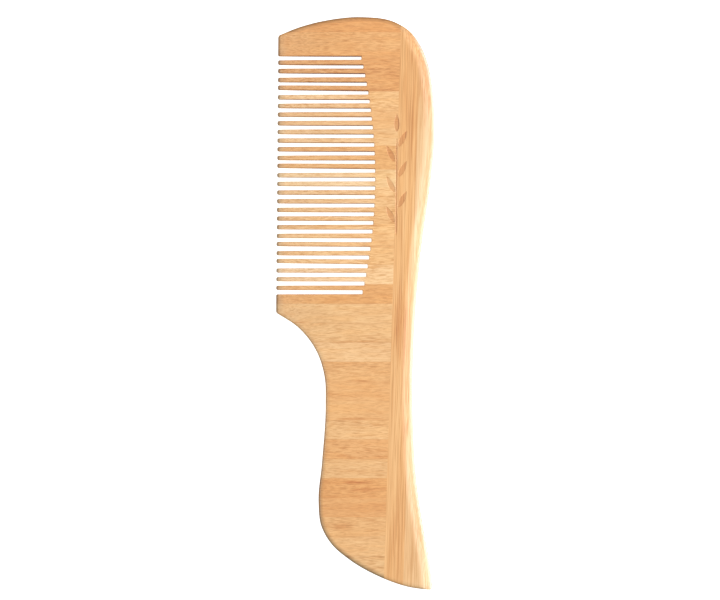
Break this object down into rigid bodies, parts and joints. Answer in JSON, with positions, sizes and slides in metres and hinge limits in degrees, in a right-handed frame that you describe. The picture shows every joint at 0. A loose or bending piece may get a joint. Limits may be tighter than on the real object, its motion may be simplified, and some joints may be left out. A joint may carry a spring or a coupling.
{
  "type": "wide tooth comb",
  "caption": "Flat bamboo dressing comb with an integral curved handle, cut from strips of bamboo glued edge to edge, with one row of teeth tapered to rounded tips.",
  "frame": {"origin": "centre of the comb's bounding box in X and Y, on the surface it lies on", "axes": "+Y along the comb from butt to head, -X the way the teeth point, +Z the upward face of the comb lying flat"},
  "size_m": [0.055, 0.1981, 0.0095],
  "materials": {
    "bamboo_pale": "satin oiled bamboo, palest strips",
    "bamboo_light": "satin oiled bamboo, light strips",
    "bamboo_honey": "satin oiled bamboo, honey strips",
    "bamboo_caramel": "satin oiled bamboo, darkest strips"
  },
  "bodies": {
    "root": {"crown_stave": "bamboo_honey", "guard_stave": "bamboo_light", "toothed_stave_01": "bamboo_honey", "toothed_stave_02": "bamboo_honey", "toothed_stave_03": "bamboo_light", "toothed_stave_04": "bamboo_light", "toothed_stave_05": "bamboo_light", "toothed_stave_06": "bamboo_caramel", "toothed_stave_07": "bamboo_light", "toothed_stave_08": "bamboo_light", "toothed_stave_09": "bamboo_honey", "toothed_stave_10": "bamboo_honey", "toothed_stave_11": "bamboo_honey", "toothed_stave_12": "bamboo_pale", "toothed_stave_13": "bamboo_caramel", "heel_stave": "bamboo_light", "handle_stave_01": "bamboo_light", "handle_stave_02": "bamboo_pale", "handle_stave_03": "bamboo_honey", "handle_stave_04": "bamboo_honey", "handle_stave_05": "bamboo_honey", "handle_stave_06": "bamboo_light", "handle_stave_07": "bamboo_honey", "handle_stave_08": "bamboo_light", "handle_stave_09": "bamboo_caramel", "handle_stave_10": "bamboo_honey", "handle_stave_11": "bamboo_honey", "handle_stave_12": "bamboo_light", "butt_stave": "bamboo_light", "spine_strip_inner": "bamboo_honey", "spine_strip_outer": "bamboo_pale", "spine_strip_butt": "bamboo_pale"}
  },
  "joints": []
}
